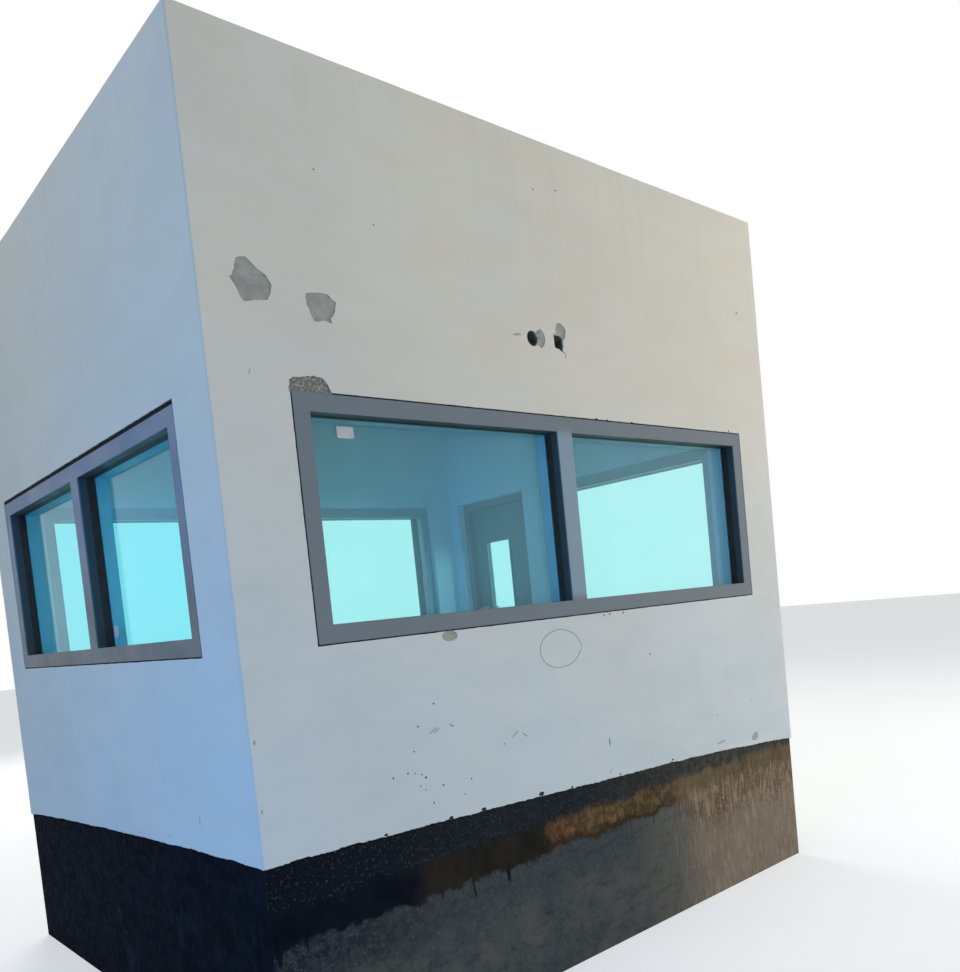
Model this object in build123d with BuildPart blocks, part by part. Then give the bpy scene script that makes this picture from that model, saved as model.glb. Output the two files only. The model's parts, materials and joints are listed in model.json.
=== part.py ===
from build123d import *
import os

os.makedirs("parts", exist_ok=True)

# Sizes in millimetres. The booth stands on z = 0 with its plan centred on the origin.
# The broad front faces -Y and the narrow left side faces -X.

# Overall sizes in plan
length = 4600
depth = 3850

# Levels, measured up from the foot of the plinth
floor_level = 1195
sill_height = 900
window_height = 1200
room_height = 3000
floor_thickness = 150
roof_thickness = 150
screed_thickness = 40
parapet_height = 595

# Thicknesses, measured inwards from the outer face of the render
render = 15
wall = 225
parapet = 150

# Windows, seen from outside: the wall left at each side of the frame, and the mullion's place
# from the frame's left end, or from its right end on the left wall
front_margin_left = 420
front_margin_right = 395
front_mullion = 1862
back_margin_left = 515
back_margin_right = 300
back_mullion = 1862
side_margin = 390
left_margin_back = 380
left_mullion = 1520

# The window frame's section
frame_recess = 4
frame_face = 90
mullion_face = 130
frame_nose = 55
frame_depth = 185
glass_setback = 106
glass_thickness = 10
groove = 12
glass_edge_gap = 2
frame_arris = 2
render_gap = 7

# The doorway, the pier between it and the right window, the wall left behind it, and the door in it
door_pier = 240
doorway_width = 970
door_margin_back = 370
door_recess = 60
door_frame_face = 50
door_frame_depth = 100
door_stop = 20
door_gap = 5
leaf_thickness = 45
threshold_height = 15
threshold_fall = 5
vision_width = 330
vision_height = 875
vision_offset = 66
vision_head = 1675
vision_bead = 20
vision_bead_proud = 6

# Hinges and handles
hinge_count = 3
hinge_length = 100
knuckle_radius = 8
pin_radius = 4
pin_clearance = 0.3
hinge_standoff = 0.5
knuckle_gap = 1
hinge_plate = 3
hinge_plate_width = 32
hinge_end = 200
handle_height = 1000
handle_backset = 70
rose_radius = 26
rose_thickness = 8
lever_neck_radius = 9
lever_reach = 53
lever_thickness = 18
lever_length = 125
lock_drop = 90

# Openings in the front wall, and the patches where the render was made good
pipe_hole_radius = 44
pocket_depth = 120
patch_recess = 5
patch_thickness = 4

# Heights of the painted edge of the render at each corner of the booth, and its rise between them
edge_front_left = 1114
edge_front_right = 926
edge_back_right = 950
edge_back_left = 957
edge_rise = 28

# Rounded edges of the render
corner_arris = 12
parapet_arris = 10

# Derived places
half_x = length / 2
half_y = depth / 2
masonry_x = half_x - render
masonry_y = half_y - render
inner_x = masonry_x - wall
inner_y = masonry_y - wall
sill = floor_level + sill_height
head = sill + window_height
ceiling = floor_level + room_height
roof_top = ceiling + roof_thickness
total_height = roof_top + parapet_height
parapet_top = total_height - render
window_level = (sill + head) / 2

front_window = (front_margin_left - half_x, half_x - front_margin_right)
back_window = (back_margin_right - half_x, half_x - back_margin_left)
left_window = (side_margin - half_y, half_y - left_margin_back)
doorway = (half_y - door_margin_back - doorway_width, half_y - door_margin_back)
right_window = (side_margin - half_y, doorway[0] - door_pier)
front_window_width = front_window[1] - front_window[0]
back_window_width = back_window[1] - back_window[0]
left_window_width = left_window[1] - left_window[0]
right_window_width = right_window[1] - right_window[0]


def block(x_span, y_span, z_span):
    """Raise a rectangle drawn in plan from one level to another."""
    with BuildSketch(Plane.XY.offset(z_span[0])) as plan:
        with Locations((sum(x_span) / 2, sum(y_span) / 2)):
            Rectangle(x_span[1] - x_span[0], y_span[1] - y_span[0])
    extrude(plan.sketch, amount=z_span[1] - z_span[0])


def save(piece, name):
    """Label a finished piece and write it."""
    piece.part.label = name
    export_step(piece.part, f"parts/{name}.step")


# Plinth: a stem wall under each side, from the ground up to the floor
with BuildPart() as front_plinth:
    block((-masonry_x, masonry_x), (-masonry_y, -inner_y), (0, floor_level))
save(front_plinth, "front_plinth")

with BuildPart() as back_plinth:
    block((-masonry_x, masonry_x), (inner_y, masonry_y), (0, floor_level))
save(back_plinth, "back_plinth")

with BuildPart() as left_plinth:
    block((-masonry_x, -inner_x), (-inner_y, inner_y), (0, floor_level))
save(left_plinth, "left_plinth")

with BuildPart() as right_plinth:
    block((inner_x, masonry_x), (-inner_y, inner_y), (0, floor_level))
save(right_plinth, "right_plinth")

# Floor slab, cast between the stem walls
with BuildPart() as floor_slab:
    block((-inner_x, inner_x), (-inner_y, inner_y), (floor_level - floor_thickness, floor_level))
save(floor_slab, "floor_slab")

# Front and back walls: masonry under the window, a pier at each end, and masonry over the window
for side, outward, window in (("front", -1, front_window), ("back", 1, back_window)):
    wall_y = tuple(sorted((outward * masonry_y, outward * inner_y)))

    with BuildPart() as sill_wall:
        block((-masonry_x, masonry_x), wall_y, (floor_level, sill))
    save(sill_wall, f"{side}_sill_wall")

    with BuildPart() as piers:
        block((-masonry_x, window[0]), wall_y, (sill, head))
        block((window[1], masonry_x), wall_y, (sill, head))
    save(piers, f"{side}_piers")

with BuildPart() as back_upper_wall:
    block((-masonry_x, masonry_x), (inner_y, masonry_y), (head, ceiling))
save(back_upper_wall, "back_upper_wall")

# The wall over the front window has a round hole for a pipe, and a pocket hacked out beside it.
# Both are placed from the wall's left corner and the window's head.
pipe_hole = (2082, 448)
pocket_outline = [(2266, 502), (2291, 489), (2328, 493), (2350, 471),
                  (2347, 424), (2332, 393), (2308, 414), (2280, 422)]
over_window = Plane(origin=(-half_x, -half_y, head), x_dir=(1, 0, 0), z_dir=(0, -1, 0))

with BuildPart() as front_upper_wall:
    block((-masonry_x, masonry_x), (-masonry_y, -inner_y), (head, ceiling))
    with BuildSketch(over_window):
        with Locations(pipe_hole):
            Circle(pipe_hole_radius)
    extrude(amount=-(render + wall), mode=Mode.SUBTRACT)
    with BuildSketch(over_window):
        Polygon(*pocket_outline, align=None)
    extrude(amount=-pocket_depth, mode=Mode.SUBTRACT)
save(front_upper_wall, "front_upper_wall")

# Left wall
with BuildPart() as left_sill_wall:
    block((-masonry_x, -inner_x), (-inner_y, inner_y), (floor_level, sill))
save(left_sill_wall, "left_sill_wall")

with BuildPart() as left_piers:
    block((-masonry_x, -inner_x), (-inner_y, left_window[0]), (sill, head))
    block((-masonry_x, -inner_x), (left_window[1], inner_y), (sill, head))
save(left_piers, "left_piers")

with BuildPart() as left_upper_wall:
    block((-masonry_x, -inner_x), (-inner_y, inner_y), (head, ceiling))
save(left_upper_wall, "left_upper_wall")

# Right wall, split beside and over the doorway
with BuildPart() as right_sill_wall:
    block((inner_x, masonry_x), (-inner_y, doorway[0]), (floor_level, sill))
save(right_sill_wall, "right_sill_wall")

with BuildPart() as right_piers:
    block((inner_x, masonry_x), (-inner_y, right_window[0]), (sill, head))
    block((inner_x, masonry_x), (right_window[1], doorway[0]), (sill, head))
    block((inner_x, masonry_x), (doorway[1], inner_y), (floor_level, head))
save(right_piers, "right_piers")

with BuildPart() as right_upper_wall:
    block((inner_x, masonry_x), (-inner_y, inner_y), (head, ceiling))
save(right_upper_wall, "right_upper_wall")

# Roof slab, with a parapet standing round its edge and a screed inside it
with BuildPart() as roof_slab:
    block((-masonry_x, masonry_x), (-masonry_y, masonry_y), (ceiling, roof_top))
save(roof_slab, "roof_slab")

parapet_x = masonry_x - parapet
parapet_y = masonry_y - parapet

with BuildPart() as front_parapet:
    block((-masonry_x, masonry_x), (-masonry_y, -parapet_y), (roof_top, parapet_top))
save(front_parapet, "front_parapet")

with BuildPart() as back_parapet:
    block((-masonry_x, masonry_x), (parapet_y, masonry_y), (roof_top, parapet_top))
save(back_parapet, "back_parapet")

with BuildPart() as left_parapet:
    block((-masonry_x, -parapet_x), (-parapet_y, parapet_y), (roof_top, parapet_top))
save(left_parapet, "left_parapet")

with BuildPart() as right_parapet:
    block((parapet_x, masonry_x), (-parapet_y, parapet_y), (roof_top, parapet_top))
save(right_parapet, "right_parapet")

with BuildPart() as roof_screed:
    block((-parapet_x, parapet_x), (-parapet_y, parapet_y), (roof_top, roof_top + screed_thickness))
save(roof_screed, "roof_screed")

# Window frames, gaskets and glass, drawn on the outer face of each wall
window_height_outer = head - sill
windows = {
    "front": ((sum(front_window) / 2, -half_y), (1, 0, 0), (0, -1, 0), front_window_width, front_mullion),
    "back": ((sum(back_window) / 2, half_y), (-1, 0, 0), (0, 1, 0), back_window_width, back_mullion),
    "left": ((-half_x, sum(left_window) / 2), (0, -1, 0), (-1, 0, 0), left_window_width,
             left_window_width - left_mullion),
    "right": ((half_x, sum(right_window) / 2), (0, 1, 0), (1, 0, 0), right_window_width, None),
}


def panes_of(width, mullion):
    """Give each pane's centre and width across the window, between the frame's sides and the mullion."""
    low = frame_face - width / 2
    high = width / 2 - frame_face
    edges = [(low, high)]
    if mullion is not None:
        centre = mullion - width / 2
        edges = [(low, centre - mullion_face / 2), (centre + mullion_face / 2, high)]
    return [((a + b) / 2, b - a) for a, b in edges]


pane_height = window_height_outer - 2 * frame_face
nose_back = frame_recess + frame_nose
glass_back = glass_setback + glass_thickness
frame_back = frame_recess + frame_depth

for side, (place, across, outward, width, mullion) in windows.items():
    face = Plane(origin=(*place, window_level), x_dir=across, z_dir=outward)
    panes = panes_of(width, mullion)

    # The nose that shows, then the groove that holds the glass, then the inner stop
    with BuildPart() as window_frame:
        for start, end, grown in ((frame_recess, nose_back, 0), (nose_back, glass_back, groove),
                                  (glass_back, frame_back, 0)):
            with BuildSketch(face.offset(-start)):
                Rectangle(width, window_height_outer)
                for centre, pane_width in panes:
                    with Locations((centre, 0)):
                        Rectangle(pane_width + 2 * grown, pane_height + 2 * grown, mode=Mode.SUBTRACT)
            extrude(amount=start - end)
        fillet(window_frame.faces().sort_by(Axis(face.origin, face.z_dir))[-1].edges(), frame_arris)
    save(window_frame, f"{side}_window_frame")

    with BuildPart() as gasket:
        with BuildSketch(face.offset(-nose_back)):
            for centre, pane_width in panes:
                with Locations((centre, 0)):
                    Rectangle(pane_width + 2 * groove, pane_height + 2 * groove)
                    Rectangle(pane_width, pane_height, mode=Mode.SUBTRACT)
        extrude(amount=nose_back - glass_setback)
    save(gasket, f"{side}_gaskets")

    with BuildPart() as glass:
        grown = groove - glass_edge_gap
        with BuildSketch(face.offset(-glass_setback)):
            for centre, pane_width in panes:
                with Locations((centre, 0)):
                    Rectangle(pane_width + 2 * grown, pane_height + 2 * grown)
        extrude(amount=-glass_thickness)
    save(glass, f"{side}_glass")

# The render goes up each wall, over the parapet and down its inner face to the screed
with BuildPart() as coat:
    with BuildSketch(Plane.XY):
        RectangleRounded(length, depth, corner_arris)
        Rectangle(2 * masonry_x, 2 * masonry_y, mode=Mode.SUBTRACT)
    extrude(amount=total_height)
    for low, inner_reach, outer_reach in ((parapet_top, parapet + render, 0),
                                          (roof_top + screed_thickness, parapet + render, parapet)):
        with BuildSketch(Plane.XY.offset(low)):
            Rectangle(2 * (masonry_x - outer_reach), 2 * (masonry_y - outer_reach))
            Rectangle(2 * (masonry_x - inner_reach), 2 * (masonry_y - inner_reach), mode=Mode.SUBTRACT)
        extrude(amount=total_height - low)
    fillet(coat.faces().sort_by(Axis.Z)[-1].edges(), parapet_arris)

# Patches of mortar in hollows of the front render, left unpainted. Those over the window are placed
# as the pipe hole is, and the last one from the window's sill.
patch_one = [(208, 575), (255, 591), (314, 537), (349, 525), (376, 488), (370, 445),
             (345, 409), (265, 392), (223, 384), (169, 483), (197, 531)]
patch_two = [(554, 467), (581, 476), (644, 486), (678, 481), (721, 451), (712, 406),
             (683, 363), (689, 341), (647, 353), (585, 340), (552, 431)]
hole_smear = [(2131, 483), (2153, 505), (2176, 481), (2184, 451), (2169, 415), (2146, 399), (2131, 416)]
pocket_smear = [(2306, 567), (2335, 571), (2368, 546), (2372, 522), (2352, 495), (2300, 505), (2292, 528)]
sill_patch = (1222, -33)
sill_patch_size = (112, 58)

# Render broken away at the front window's upper left corner, measured from that corner
broken_corner = [(-12, -5), (-10, 49), (13, 62), (70, 70), (132, 78), (174, 67), (195, 45), (214, -5)]


def patch_faces(depth_in):
    """Draw every patch on the front wall, clear of the pipe hole and the pocket."""
    with BuildSketch(over_window.offset(-depth_in)) as faces:
        for outline in (patch_one, patch_two, hole_smear, pocket_smear):
            Polygon(*outline, align=None)
        with Locations((sill_patch[0], sill_patch[1] + sill - head)):
            Ellipse(sill_patch_size[0] / 2, sill_patch_size[1] / 2)
        with Locations(pipe_hole):
            Circle(pipe_hole_radius, mode=Mode.SUBTRACT)
        Polygon(*pocket_outline, align=None, mode=Mode.SUBTRACT)
    return faces.sketch


# The coat in four parts, one on each wall, which meet at mitres. Each stops at its painted edge
# low down, stands proud of the plinth, and is open a little wider than the window frame.
ring_reach = half_x - half_y
sectors = {
    "front": [(-half_x, -half_y), (half_x, -half_y), (ring_reach, 0), (-ring_reach, 0)],
    "back": [(half_x, half_y), (-half_x, half_y), (-ring_reach, 0), (ring_reach, 0)],
    "left": [(-half_x, half_y), (-half_x, -half_y), (-ring_reach, 0)],
    "right": [(half_x, -half_y), (half_x, half_y), (ring_reach, 0)],
}
edges_of = {
    "front": (edge_front_left, edge_front_right, half_x),
    "back": (edge_back_right, edge_back_left, half_x),
    "left": (edge_back_left, edge_front_left, half_y),
    "right": (edge_front_right, edge_back_right, half_y),
}

for side, (place, across, outward, width, mullion) in windows.items():
    left_edge, right_edge, reach = edges_of[side]
    window_face = Plane(origin=(*place, window_level), x_dir=across, z_dir=outward)
    wall_foot = Plane(origin=(outward[0] * half_x, outward[1] * half_y, 0), x_dir=across, z_dir=outward)

    with BuildPart() as skin:
        add(coat.part)
        with BuildSketch(Plane.XY):
            Polygon(*sectors[side], align=None)
        extrude(amount=total_height, mode=Mode.INTERSECT)

        # Everything below the painted edge comes off
        with BuildSketch(wall_foot):
            with BuildLine():
                ThreePointArc((-reach, left_edge), (0, (left_edge + right_edge) / 2 + edge_rise),
                              (reach, right_edge))
                Polyline((reach, right_edge), (reach, 0), (-reach, 0), (-reach, left_edge))
            make_face()
        extrude(amount=-render, mode=Mode.SUBTRACT)

        with BuildSketch(window_face):
            Rectangle(width + 2 * render_gap, window_height_outer + 2 * render_gap)
        extrude(amount=-render, mode=Mode.SUBTRACT)

        if side == "right":
            with BuildSketch(wall_foot):
                with Locations((sum(doorway) / 2, (floor_level + head) / 2)):
                    Rectangle(doorway_width, head - floor_level)
            extrude(amount=-render, mode=Mode.SUBTRACT)

        if side == "front":
            with BuildSketch(over_window):
                with Locations(pipe_hole):
                    Circle(pipe_hole_radius)
                Polygon(*pocket_outline, align=None)
                with Locations((front_margin_left, 0)):
                    Polygon(*broken_corner, align=None)
            extrude(amount=-render, mode=Mode.SUBTRACT)
            extrude(patch_faces(0), amount=-patch_recess, mode=Mode.SUBTRACT)
    save(skin, f"{side}_render")

with BuildPart() as mortar_patches:
    extrude(patch_faces(patch_recess), amount=patch_thickness)
save(mortar_patches, "mortar_patches")

# Door frame: two jambs and a head, with a stop that the leaf closes against
door_height = head - floor_level
door_x = half_x - door_recess
door_plane = Plane(origin=(door_x, sum(doorway) / 2, floor_level), x_dir=(0, 1, 0), z_dir=(1, 0, 0))
rebate_depth = leaf_thickness + door_gap

with BuildPart() as door_frame:
    for start, end, reach in ((0, rebate_depth, 0), (rebate_depth, door_frame_depth, door_stop)):
        clear_width = doorway_width - 2 * (door_frame_face + reach)
        clear_height = door_height - door_frame_face - reach
        with BuildSketch(door_plane.offset(-start)):
            with Locations((0, door_height / 2)):
                Rectangle(doorway_width, door_height)
            with Locations((0, clear_height / 2)):
                Rectangle(clear_width, clear_height, mode=Mode.SUBTRACT)
        extrude(amount=start - end)
save(door_frame, "door_frame")

# Threshold plate between the jambs, sloping off to the outside
threshold_width = doorway_width - 2 * (door_frame_face + door_stop)
with BuildPart() as threshold:
    with BuildSketch(Plane.XZ.offset(-sum(doorway) / 2)):
        with BuildLine():
            Polyline((door_x - door_frame_depth, floor_level), (door_x, floor_level),
                     (door_x, floor_level + threshold_height - threshold_fall),
                     (door_x - rebate_depth, floor_level + threshold_height),
                     (door_x - door_frame_depth, floor_level + threshold_height),
                     (door_x - door_frame_depth, floor_level))
        make_face()
    extrude(amount=threshold_width / 2, both=True)
save(threshold, "threshold")

# Door leaf, with a narrow vision panel held by a raised bead on each face
leaf_width = doorway_width - 2 * (door_frame_face + door_gap)
leaf_bottom = threshold_height + door_gap
leaf_top = door_height - door_frame_face - door_gap
vision_middle = vision_head - vision_height / 2

with BuildPart() as door_leaf:
    with BuildSketch(door_plane):
        with Locations((0, (leaf_bottom + leaf_top) / 2)):
            Rectangle(leaf_width, leaf_top - leaf_bottom)
    extrude(amount=-leaf_thickness)
    with BuildSketch(door_plane.offset(vision_bead_proud)):
        with Locations((vision_offset, vision_middle)):
            Rectangle(vision_width + 2 * vision_bead, vision_height + 2 * vision_bead)
    extrude(amount=-leaf_thickness - 2 * vision_bead_proud)
    with BuildSketch(door_plane.offset(vision_bead_proud)):
        with Locations((vision_offset, vision_middle)):
            Rectangle(vision_width, vision_height)
    extrude(amount=-leaf_thickness - 2 * vision_bead_proud, mode=Mode.SUBTRACT)
    # Groove in the middle of the leaf's thickness for the edge of the glass
    with BuildSketch(door_plane.offset((glass_thickness - leaf_thickness) / 2)):
        with Locations((vision_offset, vision_middle)):
            Rectangle(vision_width + 2 * groove, vision_height + 2 * groove)
    extrude(amount=-glass_thickness, mode=Mode.SUBTRACT)
save(door_leaf, "door_leaf")

with BuildPart() as door_glass:
    with BuildSketch(door_plane.offset((glass_thickness - leaf_thickness) / 2)):
        with Locations((vision_offset, vision_middle)):
            Rectangle(vision_width + 2 * groove, vision_height + 2 * groove)
    extrude(amount=-glass_thickness)
save(door_glass, "door_glass")

# Hinges on the jamb nearest the front, with the knuckle in line with the gap
knuckle_across = door_frame_face + door_gap / 2 - doorway_width / 2
knuckle_out = knuckle_radius + hinge_standoff
knuckle_length = (hinge_length - 2 * knuckle_gap) / 3
hinge_lift = (leaf_top - leaf_bottom - 2 * hinge_end) / (hinge_count - 1)
hinge_feet = [leaf_bottom + hinge_end - hinge_length / 2 + hinge_lift * n for n in range(hinge_count)]
hinge_y = sum(doorway) / 2 + knuckle_across
hinge_x = door_x + knuckle_out


def knuckle(foot, height, radius, mode=Mode.ADD):
    """Raise a round knuckle or pin on the hinge's axis."""
    with BuildSketch(Plane(origin=(hinge_x, hinge_y, floor_level + foot), z_dir=(0, 0, 1))) as circle:
        Circle(radius)
    extrude(circle.sketch, amount=height, mode=mode)


def hinge_wing(foot, height, inner, outer):
    """Lay a hinge plate on the face of the door or its frame, between two distances from the axis."""
    with BuildSketch(door_plane) as wing:
        with Locations((knuckle_across + (inner + outer) / 2, foot + height / 2)):
            Rectangle(abs(outer - inner), height)
    extrude(wing.sketch, amount=hinge_plate)


wing_clearance = knuckle_radius + knuckle_gap
with BuildPart() as door_hinge_fixed:
    for foot in hinge_feet:
        for own_foot in (foot, foot + 2 * (knuckle_length + knuckle_gap)):
            knuckle(own_foot, knuckle_length, knuckle_radius)
            hinge_wing(own_foot, knuckle_length, -hinge_plate_width, 0)
        hinge_wing(foot, hinge_length, -hinge_plate_width, -wing_clearance)
        knuckle(foot, hinge_length, pin_radius)
save(door_hinge_fixed, "door_hinge_fixed")

with BuildPart() as door_hinge_moving:
    for foot in hinge_feet:
        middle_foot = foot + knuckle_length + knuckle_gap
        knuckle(middle_foot, knuckle_length, knuckle_radius)
        hinge_wing(middle_foot, knuckle_length, 0, hinge_plate_width)
        hinge_wing(foot, hinge_length, wing_clearance, hinge_plate_width)
        knuckle(middle_foot, knuckle_length, pin_radius + pin_clearance, mode=Mode.SUBTRACT)
save(door_hinge_moving, "door_hinge_moving")

# Lever handles and lock plates on both faces of the leaf, near its free edge
handle_across = leaf_width / 2 - handle_backset
with BuildPart() as door_handles:
    for surface in (door_plane, Plane(origin=door_plane.offset(-leaf_thickness).origin,
                                      x_dir=(0, -1, 0), z_dir=(-1, 0, 0))):
        hand = surface.x_dir.Y
        lever_at = (hand * handle_across, handle_height)
        lock_at = (hand * handle_across, handle_height - lock_drop)
        with BuildSketch(surface):
            with Locations(lever_at, lock_at):
                Circle(rose_radius)
        extrude(amount=rose_thickness)
        with BuildSketch(surface.offset(rose_thickness)):
            with Locations(lever_at):
                Circle(lever_neck_radius)
        extrude(amount=lever_reach - lever_thickness - rose_thickness)
        with BuildSketch(surface.offset(lever_reach - lever_thickness)):
            with Locations((hand * (handle_across - lever_length / 2 + lever_neck_radius), handle_height)):
                SlotOverall(lever_length, 2 * lever_neck_radius)
        extrude(amount=lever_thickness)
save(door_handles, "door_handles")
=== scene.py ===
# %% [markdown]
# # A guard booth of rendered blockwork
#
# The frame holds the booth's walls, windows and door at their true sizes. This script gives them their
# finishes, and models what is too fine or too rough for the frame: the hand-trowelled coat of render with
# its ragged edges, the mortar repairs, and the marks that builders leave. Lengths are in metres.

# %% Load the frame
import json
import math
import bmesh
import bpy
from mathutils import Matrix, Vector


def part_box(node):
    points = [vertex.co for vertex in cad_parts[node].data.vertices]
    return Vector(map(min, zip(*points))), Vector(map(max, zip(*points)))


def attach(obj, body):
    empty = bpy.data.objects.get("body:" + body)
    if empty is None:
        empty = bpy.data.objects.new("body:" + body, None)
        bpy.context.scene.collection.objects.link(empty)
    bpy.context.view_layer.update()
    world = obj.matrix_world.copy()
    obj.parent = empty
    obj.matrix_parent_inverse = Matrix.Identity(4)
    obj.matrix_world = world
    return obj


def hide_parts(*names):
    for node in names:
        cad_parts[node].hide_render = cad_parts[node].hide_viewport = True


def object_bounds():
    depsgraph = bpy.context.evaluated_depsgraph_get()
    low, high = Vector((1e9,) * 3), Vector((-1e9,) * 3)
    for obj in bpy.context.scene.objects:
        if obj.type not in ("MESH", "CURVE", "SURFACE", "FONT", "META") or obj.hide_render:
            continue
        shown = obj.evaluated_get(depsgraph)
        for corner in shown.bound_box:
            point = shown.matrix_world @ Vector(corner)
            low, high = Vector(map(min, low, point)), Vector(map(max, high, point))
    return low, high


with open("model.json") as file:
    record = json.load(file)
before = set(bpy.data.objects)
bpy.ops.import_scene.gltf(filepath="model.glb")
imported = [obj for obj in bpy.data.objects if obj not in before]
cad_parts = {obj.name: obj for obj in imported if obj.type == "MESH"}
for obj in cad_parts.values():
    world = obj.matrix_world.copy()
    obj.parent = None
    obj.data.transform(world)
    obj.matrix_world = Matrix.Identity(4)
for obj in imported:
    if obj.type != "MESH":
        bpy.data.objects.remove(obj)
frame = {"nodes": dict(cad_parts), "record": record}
nodes = frame["nodes"]
frame_low, frame_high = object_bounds()
half_x, half_y, top = frame_high.x, frame_high.y, frame_high.z
window = {side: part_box(f"{side}_window_frame") for side in ("front", "back", "left", "right")}
head, sill, window_left = window["front"][1].z, window["front"][0].z, window["front"][0].x
room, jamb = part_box("floor_slab")[1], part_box("door_frame")
print("frame box", tuple(round(v, 3) for v in frame_low), tuple(round(v, 3) for v in frame_high))

# %% [markdown]
# ## Camera
#
# The photograph was taken from close by, with the camera rolled a little to one side and tipped so that
# the plinth's foot runs out of the picture. A real lens keeps that perspective, and a small shift puts the
# middle of the picture where it was. The numbers were solved from the edges of the walls and windows.

# %% Camera
bpy.ops.object.select_all(action="DESELECT")
bpy.ops.object.camera_add(location=(-4.0809, -5.5827, 2.1875),
                          rotation=[math.radians(a) for a in (87.0385, 5.7861, -41.4777)])
camera = bpy.context.object
camera.name = "camera"
camera.data.sensor_width = 36
camera.data.lens = 32.7538
camera.data.shift_y = 0.17387
bpy.context.scene.camera = camera
bpy.context.scene.view_settings.view_transform = "Standard"
print("lens", camera.data.lens, "shift", camera.data.shift_y)

# %% [markdown]
# ## Building shaders from nodes
#
# Every finish below is a small tree of nodes. Placing nodes one by one takes many lines, so these helpers
# add a node, set it and wire it in one call. A value that is a socket is linked, and any other is typed in.

# %% Helpers for nodes
def fill(tree, socket, value):
    """Link a socket to another one, or type a value into it."""
    if isinstance(value, bpy.types.NodeSocket):
        tree.links.new(value, socket)
    else:
        socket.default_value = value


def put(tree, kind, links=None, **settings):
    """Add a node to a tree, set its options, and fill or link its inputs."""
    made = tree.nodes.new("ShaderNode" + kind)
    for name, value in settings.items():
        setattr(made, name, value)
    for name, value in (links or {}).items():
        fill(tree, made.inputs[name], value)
    return made


def maths(tree, operation, a, b=0.0):
    """One sum on two values."""
    return put(tree, "Math", {0: a, 1: b}, operation=operation).outputs[0]


def times(tree, a, b):
    """Two masks or values multiplied, so that a mask shows only where both do."""
    return maths(tree, "MULTIPLY", a, b)


def between(tree, value, low, high):
    """A mask that eases from 0 at low to 1 at high."""
    return put(tree, "MapRange", {"Value": value, "From Min": low, "From Max": high},
               interpolation_type="SMOOTHSTEP").outputs["Result"]


def below(tree, value, low, high):
    """A mask that eases from 1 at low to 0 at high."""
    return maths(tree, "SUBTRACT", 1.0, between(tree, value, low, high))


def graded(tree, mask, low, high):
    """A number that goes from low to high as a mask goes from 0 to 1."""
    return put(tree, "MapRange", {"Value": mask, "To Min": low, "To Max": high}).outputs["Result"]


def srgb(colour):
    """A colour read off a screen, from 0 to 255, as the linear values that a shader takes."""
    return (*(((c / 255 + 0.055) / 1.055) ** 2.4 if c > 10 else c / 255 / 12.92 for c in colour), 1.0)


def tint(tree, mask, a, b):
    """Mix two colours by a mask: sockets, screen colours as three numbers, or linear ones as four."""
    a, b = [srgb(c) if isinstance(c, tuple) and len(c) == 3 else c for c in (a, b)]
    return put(tree, "Mix", {0: mask, 6: a, 7: b}, data_type="RGBA").outputs[2]


def wash(tree, tone, *layers):
    """Lay colours over a tone: a mask, how strongly it shows, and a colour for each."""
    for mask, share, colour in layers:
        tone = tint(tree, times(tree, mask, share), tone, colour)
    return tone


def group_tree(name, result, **inputs):
    """Start a node group that takes a place and more, and give its tree, its inputs and its result."""
    tree = bpy.data.node_groups.new(name, "ShaderNodeTree")
    for label, value in {"Place": (0, 0, 0), **inputs}.items():
        kind = "NodeSocketVector" if isinstance(value, tuple) else "NodeSocketFloat"
        tree.interface.new_socket(label, in_out="INPUT", socket_type=kind).default_value = value
    tree.interface.new_socket(result, in_out="OUTPUT", socket_type="NodeSocketFloat")
    return tree, tree.nodes.new("NodeGroupInput").outputs, tree.nodes.new("NodeGroupOutput").inputs[0]


def feed(tree, node, **values):
    """Fill or link a node's sockets by their names."""
    for name, value in values.items():
        fill(tree, node.inputs[name.replace("_", " ")], value)


def effect(tree, group, place, **values):
    """Place a node group in a material with its own values, and give its mask or height."""
    made = put(tree, "Group", node_tree=group)
    feed(tree, made, Place=place, **values)
    return made.outputs[0]


def new_material(name):
    """An empty material with a Principled shader and the piece's own coordinates."""
    material = bpy.data.materials.new(name)
    material.use_nodes = True
    tree = material.node_tree
    tree.nodes.clear()
    shader = put(tree, "BsdfPrincipled")
    put(tree, "OutputMaterial", {"Surface": shader.outputs["BSDF"]})
    return material, tree, shader, put(tree, "TexCoord").outputs["Object"]


def relief(tree, shader, height, distance, strength=1.0):
    """Turn a height into the shader's normal."""
    bump = put(tree, "Bump", {"Height": height, "Distance": distance, "Strength": strength})
    feed(tree, shader, Normal=bump.outputs["Normal"])


print("node helpers ready")

# %% [markdown]
# ## Effects that several finishes share
#
# Weather and hand work leave the same few traces on every surface here: cloudy changes of tone, runs that
# water draws down a wall, specks, and the grain of sand. Each is made once as a node group, and each
# material then places it with its own size and strength.

# %% Clouds, runs, specks and grain
clouds, given, result = group_tree("clouds", "Mask", Scale=2.0, Stretch=(1, 1, 1), Low=0.4, High=0.6)
spread = put(clouds, "VectorMath", {0: given["Place"], 1: given["Stretch"]}, operation="MULTIPLY").outputs[0]
noise = put(clouds, "TexNoise", {"Vector": spread, "Scale": given["Scale"], "Detail": 4.0, "Roughness": 0.6})
clouds.links.new(between(clouds, noise.outputs["Fac"], given["Low"], given["High"]), result)

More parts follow.
